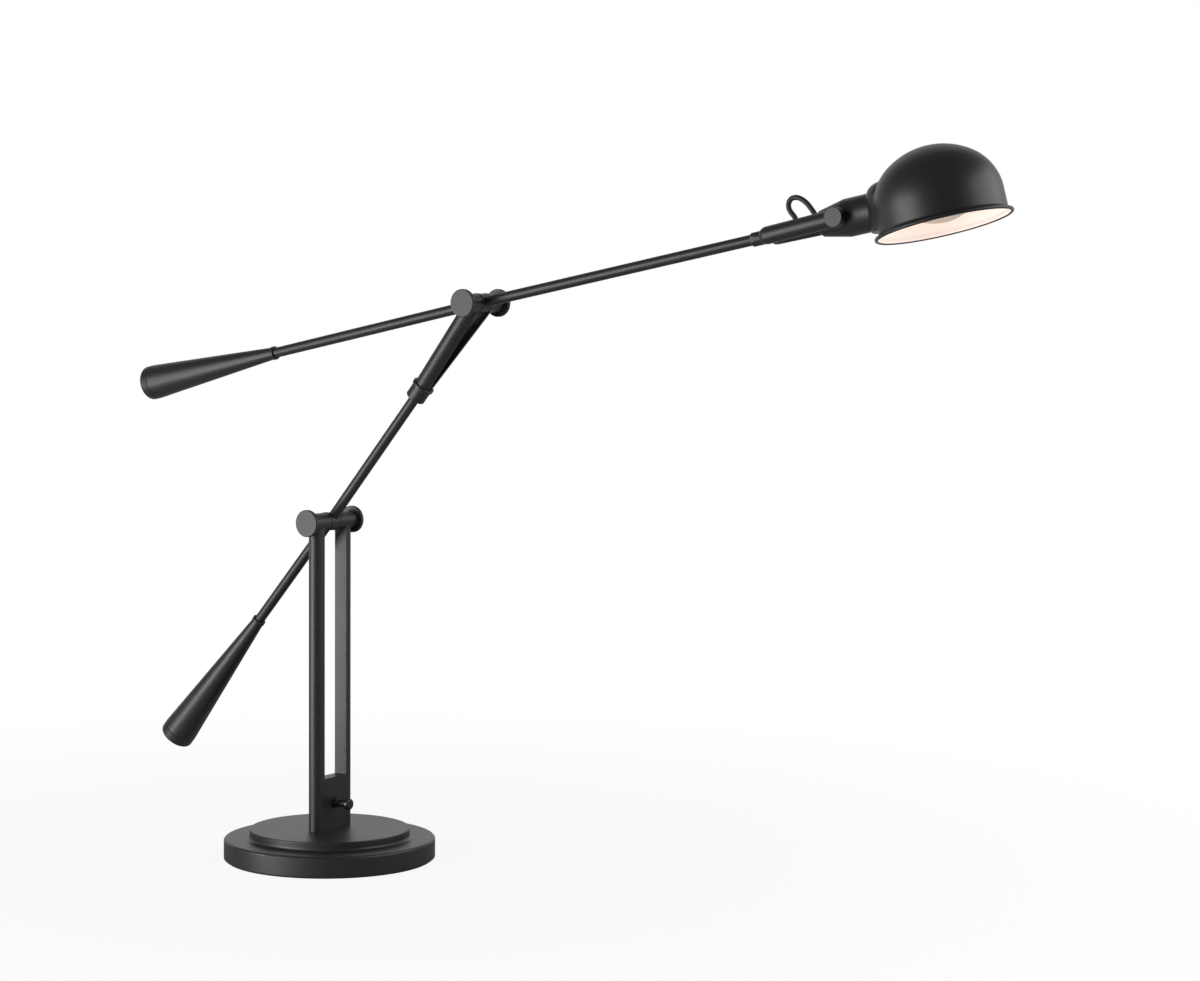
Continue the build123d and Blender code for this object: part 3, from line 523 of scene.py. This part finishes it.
# %% Inside of the shade
def inside_shade(finish):
    """1 on the inner side of the shade's wall and 0 on the outer side."""
    turned = {"Vector": finish.place, "Location": rim_centre, "Rotation": (0, -shade_rise, 0)}
    shade_place = finish.node("ShaderNodeMapping", {"vector_type": "TEXTURE"}, turned)
    x, y, height = (
        finish.number("ShaderNodeSeparateXYZ", sockets={"Vector": shade_place}, out=axis) for axis in "XYZ"
    )
    reach = apart(x, y)
    above_shoulder = height > shoulder_height
    in_crown = (height - crown_height) * shoulder_reach > reach * (shoulder_height - crown_height)
    past_shoulder = apart(reach - shoulder_reach, height - shoulder_height) > shoulder_radius - wall_middle
    past_crown = apart(reach, height - crown_height) > crown_radius - wall_middle
    clear_of_flare = apart(flare_reach - reach, (flare_height - height) | 0.0) > flare_radius + wall_middle
    before_rim = (reach < flare_reach) * (height > enamel_edge)
    outside_dome = in_crown * past_crown + (1 - in_crown) * above_shoulder * past_shoulder
    return before_rim * clear_of_flare * (1 - outside_dome)


# %% [markdown]
# The enamel is a warm white with the slight waviness of a sprayed coat. A strong bulb could light it, but
# would then be a white hole itself, so the bulb's light is painted into the enamel as a soft warm glow of its
# own. The mask mixes what the two coats differ in.


# %% Shade finish
def white_enamel(finish):
    """Colour, roughness and waviness of the warm white enamel."""
    wave = finish.noise(240.0, detail=2.0)
    cloud = finish.noise(22.0, detail=2.0)
    colour = finish.mix(cloud, (0.86, 0.78, 0.72, 1), (0.89, 0.82, 0.77, 1))
    roughness = 0.38 + 0.1 * wave
    return colour, roughness, wave


# Painted light: the enamel glows with this warm colour in place of the bulb's light falling on it.
painted_bulb_light = (1.0, 0.80, 0.73, 1)
painted_light_strength = 0.45
enamel = Finish("white_enamel", Specular_IOR_Level=0.3)
enamel.set(Emission_Color=painted_bulb_light, Emission_Strength=painted_light_strength)
enamel_colour, enamel_roughness, enamel_wave = white_enamel(enamel)
enamel_relief = enamel.bump(enamel_wave, depth=0.00003, strength=0.3)
enamel.set(Base_Color=enamel_colour, Roughness=enamel_roughness, Normal=enamel_relief)

two_coats = Finish("shade_two_coats", Specular_IOR_Level=0.5, Emission_Strength=painted_light_strength)
coat_inside = inside_shade(two_coats)
outer_colour, outer_roughness, outer_relief = satin_paint(two_coats)
inner_colour, inner_roughness, _ = white_enamel(two_coats)
two_coats.set(
    Base_Color=two_coats.mix(coat_inside, outer_colour, inner_colour),
    Roughness=outer_roughness + coat_inside * (inner_roughness - outer_roughness),
    # Painted light: the inner coat glows warm in place of the bulb's light; the outer coat does not glow.
    Emission_Color=two_coats.mix(coat_inside, grey(0.0), painted_bulb_light),
    Normal=outer_relief,
)
print("shade finish:", len(two_coats.nodes), "nodes")

# %% [markdown]
# ## Bulb and lampholder
# The frosted bulb glows gently inside the shade; the warm light that it would cast on the enamel is painted
# into the enamel as a glow. Clear glass with a filament would show as a bright spark, but the frosted kind is
# an even pale surface, so the glass is an opaque white with a fine etched grain and a little warm emission.
# Its cap is spun aluminium, the holder is glazed porcelain, and the contacts are brass.

# %% Bulb and lampholder
frosted = Finish("frosted_glass", Emission_Strength=0.18, Coat_Weight=0.1, Coat_Roughness=0.4)
frost_grain = frosted.noise(2600.0, detail=1.0)
frost_cloud = frosted.noise(40.0)
frosted.set(
    Base_Color=frosted.mix(frost_cloud, (0.78, 0.69, 0.59, 1), (0.82, 0.73, 0.63, 1)),
    Emission_Color=frosted.mix(frost_cloud, (1.0, 0.74, 0.54, 1), (1.0, 0.77, 0.58, 1)),
    Roughness=0.5 + 0.15 * frost_grain,
    Normal=frosted.bump(frost_grain, depth=0.00002, strength=0.3),
)

porcelain = Finish("glazed_porcelain", Coat_Weight=0.6, Coat_Roughness=0.12)
glaze_cloud = porcelain.noise(60.0, detail=3.0)
glaze_speck = porcelain.noise(900.0, detail=1.0) > 0.71
porcelain.set(
    Base_Color=porcelain.mix(glaze_speck * 0.35, (0.80, 0.78, 0.74, 1), (0.45, 0.42, 0.38, 1)),
    Roughness=0.28 + 0.14 * glaze_cloud,
)

brass = Finish("pressed_brass", Metallic=1.0)
brass_stain = brass.noise(120.0, detail=3.0)
brass.set(
    Base_Color=brass.mix(brass_stain, (0.72, 0.52, 0.24, 1), (0.55, 0.38, 0.17, 1)),
    Roughness=0.26 + 0.2 * brass_stain,
)

aluminium = Finish("spun_aluminium", Metallic=1.0)
spin_marks = aluminium.noise(1.0, detail=1.0, place=aluminium.stretched((2400.0, 90.0, 90.0)))
aluminium.set(
    Base_Color=aluminium.mix(spin_marks, grey(0.72), grey(0.84)),
    Roughness=0.27 + 0.16 * spin_marks,
    Normal=aluminium.bump(spin_marks, depth=0.00002, strength=0.3),
)
print("bulb and holder finishes: 4")

# %% [markdown]
# ## Felt, rubber, steel and plastic
# The small pieces are told apart by how they scatter light. Felt is a mat of fibres with no gloss. They could
# be grown as hairs, but the pad shows only its edge under the base, so a stretched noise stands for them.
# Moulded rubber and the flex of the leads are dark and faintly mottled, and the flex is smoother than the
# rubber. The pins are turned steel with fine rings, and the screws are blackened steel.

# %% Felt and rubber
felt = Finish("felt_pad", Specular_IOR_Level=0.1, Sheen_Weight=0.3, Sheen_Roughness=0.6)
fibres = felt.noise(1.0, detail=4.0, roughness=0.7, place=felt.stretched((900.0, 2600.0, 900.0)))
felt.set(
    Base_Color=felt.mix(fibres, grey(0.012), grey(0.05)),
    Roughness=0.86 + 0.12 * fibres,
    Normal=felt.bump(fibres, depth=0.0003, strength=0.6),
)

rubber = Finish("moulded_rubber", Specular_IOR_Level=0.3)
rubber_mottle = rubber.noise(700.0, detail=3.0)
rubber.set(
    Base_Color=rubber.mix(rubber_mottle, grey(0.010), grey(0.022)),
    Roughness=0.62 + 0.2 * rubber_mottle,
    Normal=rubber.bump(rubber_mottle, depth=0.00005, strength=0.3),
)

flex = Finish("lead_flex", Specular_IOR_Level=0.4)
flex_grain = flex.noise(1800.0, detail=2.0)
flex_cloud = flex.noise(90.0)
flex.set(
    Base_Color=flex.mix(flex_cloud, grey(0.011), grey(0.020)),
    Roughness=0.44 + 0.12 * flex_grain,
    Normal=flex.bump(flex_grain, depth=0.00003, strength=0.3),
)
print("soft finishes: 3")

# %% Steel and plastic
steel = Finish("turned_steel", Metallic=1.0)
turning = steel.noise(1.0, detail=1.0, place=steel.stretched((200.0, 5000.0, 200.0)))
steel.set(
    Base_Color=steel.mix(turning, grey(0.46), grey(0.58)),
    Roughness=0.28 + 0.15 * turning,
    Normal=steel.bump(turning, depth=0.00002, strength=0.3),
)

black_steel = Finish("blackened_steel", Metallic=1.0)
oxide = black_steel.noise(2200.0, detail=3.0)
black_steel.set(
    Base_Color=black_steel.mix(oxide, grey(0.03), grey(0.07)),
    Roughness=0.38 + 0.15 * oxide,
)

plastic = Finish("moulded_plastic", Specular_IOR_Level=0.4)
plastic_grain = plastic.noise(1600.0, detail=2.0)
plastic.set(
    Base_Color=plastic.mix(plastic_grain, grey(0.022), grey(0.034)),
    Roughness=0.48 + 0.12 * plastic_grain,
    Normal=plastic.bump(plastic_grain, depth=0.00003, strength=0.3),
)

gloss_black = Finish("knob_black", Specular_IOR_Level=0.5)
knob_peel = gloss_black.noise(1500.0, detail=1.0)
gloss_black.set(
    Base_Color=gloss_black.mix(knob_peel, grey(0.008), grey(0.013)),
    Roughness=0.22 + 0.08 * knob_peel,
    Normal=gloss_black.bump(knob_peel, depth=0.00002, strength=0.2),
)
print("hard finishes: 4")

# %% [markdown]
# ## Dressing the pieces
# Each solid names a slot for its material, so most are dressed by slot. Three differ from their slot: the
# shade has two coats, the saddle inside it is enamelled with it, and the nut of the switch is blackened. The
# knob is handled, so its black is glossier.

# %% Dressing the pieces
slot_finishes = {
    "black_paint": paint,
    "felt": felt,
    "rubber": rubber,
    "steel": steel,
    "washer": plastic,
    "lead": flex,
    "switch_plastic": plastic,
    "porcelain": porcelain,
    "brass": brass,
    "bulb_cap_metal": aluminium,
    "frosted_glass": frosted,
}
own_finishes = {"shade": two_coats, "shade_saddle": enamel, "switch_nut": black_steel}
for subpart in frame["record"]["subparts"]:
    name = subpart["node"]
    finish = own_finishes.get(name, slot_finishes[subpart["material_slot"]])
    nodes[name].data.materials.clear()
    nodes[name].data.materials.append(finish.material)
cord_mesh.materials.append(flex.material)
screw_mesh.materials.append(black_steel.material)
knob_mesh.materials.append(gloss_black.material)

# %% [markdown]
# ## Studio
# The lamp stands before a white backdrop in a dim room. White on all sides would turn black paint grey, since
# gloss shows whatever is around it, so reflections find white only on the backdrop's side of the world. The
# eye finds white in every direction, and so does light that has passed through glass. The floor does the
# same, but keeps a little of its own shading near the lamp, which is the soft shadow.

# %% White backdrop
backdrop_side = (-0.55, 0.83, 0)
room_level = 0.21
room_edge = (0.5, 0.95)


def seen_white(tree, place, edge):
    """1 for the eye, and for reflections too where a place or direction is on the backdrop's side."""
    kinds = ("Is Camera Ray", "Is Glossy Ray", "Is Transmission Ray")
    camera_ray, glossy_ray, glass_ray = (tree.number("ShaderNodeLightPath", out=kind) for kind in kinds)
    sides = {0: place, 1: backdrop_side}
    facing = tree.number("ShaderNodeVectorMath", {"operation": "DOT_PRODUCT"}, sides, out="Value")
    reach = {"Value": facing, "From Min": edge[0], "From Max": edge[1]}
    on_backdrop = tree.number("ShaderNodeMapRange", {"interpolation_type": "SMOOTHSTEP"}, reach)
    return camera_ray | glass_ray | glossy_ray * on_backdrop


world = bpy.data.worlds.new("studio")
bpy.context.scene.world = world
world.use_nodes = True
room = Tree(world.node_tree)
room_direction = room.node("ShaderNodeTexCoord", out="Generated")
room_light = room.node("ShaderNodeBackground", sockets={"Color": grey(1.0), "Strength": room_level})
room_white = room.node("ShaderNodeBackground", sockets={"Color": grey(1.0), "Strength": 1.0})
room_seen = seen_white(room, room_direction, room_edge)
room_mix = room.node("ShaderNodeMixShader", sockets={0: room_seen, 1: room_light, 2: room_white})
room.node("ShaderNodeOutputWorld", sockets={"Surface": room_mix})
print("room level", room_level)

# %% Floor
floor_size = 8.0
floor_gap = 0.5 * millimetre
floor_edge = (0.3, 2.0)
shadow_reach = (0.2, 1.1)
white_share = (0.92, 1.0)
floor_form = bmesh.new()
bmesh.ops.create_grid(floor_form, x_segments=1, y_segments=1, size=floor_size)
bmesh.ops.translate(floor_form, verts=floor_form.verts, vec=(0, 0, -floor_gap))
floor_mesh = meshed(floor_form, "floor")
floor = shown("floor", floor_mesh)

floor_finish = Finish("floor", Base_Color=grey(0.6), Roughness=0.9, Specular_IOR_Level=0.0)
floor_distance = floor_finish.number(
    "ShaderNodeVectorMath", {"operation": "LENGTH"}, {0: floor_finish.place}, out="Value"
)
fade_range = {
    "Value": floor_distance,
    "From Min": shadow_reach[0],
    "From Max": shadow_reach[1],
    "To Min": white_share[0],
    "To Max": white_share[1],
}
floor_fade = floor_finish.number("ShaderNodeMapRange", {"interpolation_type": "SMOOTHSTEP"}, fade_range)
floor_white = floor_finish.node("ShaderNodeEmission", sockets={"Color": grey(1.0), "Strength": 1.0})
floor_mix = floor_finish.node(
    "ShaderNodeMixShader",
    sockets={
        0: floor_fade * seen_white(floor_finish, floor_finish.place, floor_edge),
        1: floor_finish.surface.outputs["BSDF"],
        2: floor_white,
    },
)
floor_finish.plug(floor_finish.output.inputs["Surface"], floor_mix)
floor_mesh.materials.append(floor_finish.material)
print("floor", 2 * floor_size, "m wide")

# %% [markdown]
# Black paint shows its form only by what it mirrors. Small lamps would leave sparks on it, so they are wide
# softboxes. One at the front left, level with the lamp, puts a band along every rod and lights the flat ends
# of the pins. A low strip does the same for the side of the base, which mirrors what lies near the floor, and
# a softbox on the right lifts the far side of the shade out of the dark.


# %% Softboxes
def softbox(name, place, target, size, power):
    """Rectangular studio lamp that faces a point."""
    data = bpy.data.lights.new(name, "AREA")
    data.shape = "RECTANGLE"
    data.size, data.size_y = size
    data.energy = power
    lamp = shown(name, data)
    lamp.location = place
    lamp.rotation_euler = (Vector(target) - Vector(place)).to_track_quat("-Z", "Y").to_euler()
    lamp.visible_camera = False
    print(name, "at", place, "power", power)


lamp_middle = (0.25, 0.0, 0.4)
base_side = (0.0, 0.0, 0.02)
shade_middle = (0.65, 0.0, 0.6)
softbox("front_left", place=(-0.57, -1.75, 0.36), target=lamp_middle, size=(1.6, 1.3), power=38)
softbox("low_strip", place=(-0.52, -0.92, 0.07), target=base_side, size=(0.5, 0.12), power=3.4)
softbox("right_side", place=(2.0, 0.9, 1.15), target=shade_middle, size=(2.4, 1.3), power=25)

bpy.context.scene.view_settings.view_transform = "Standard"
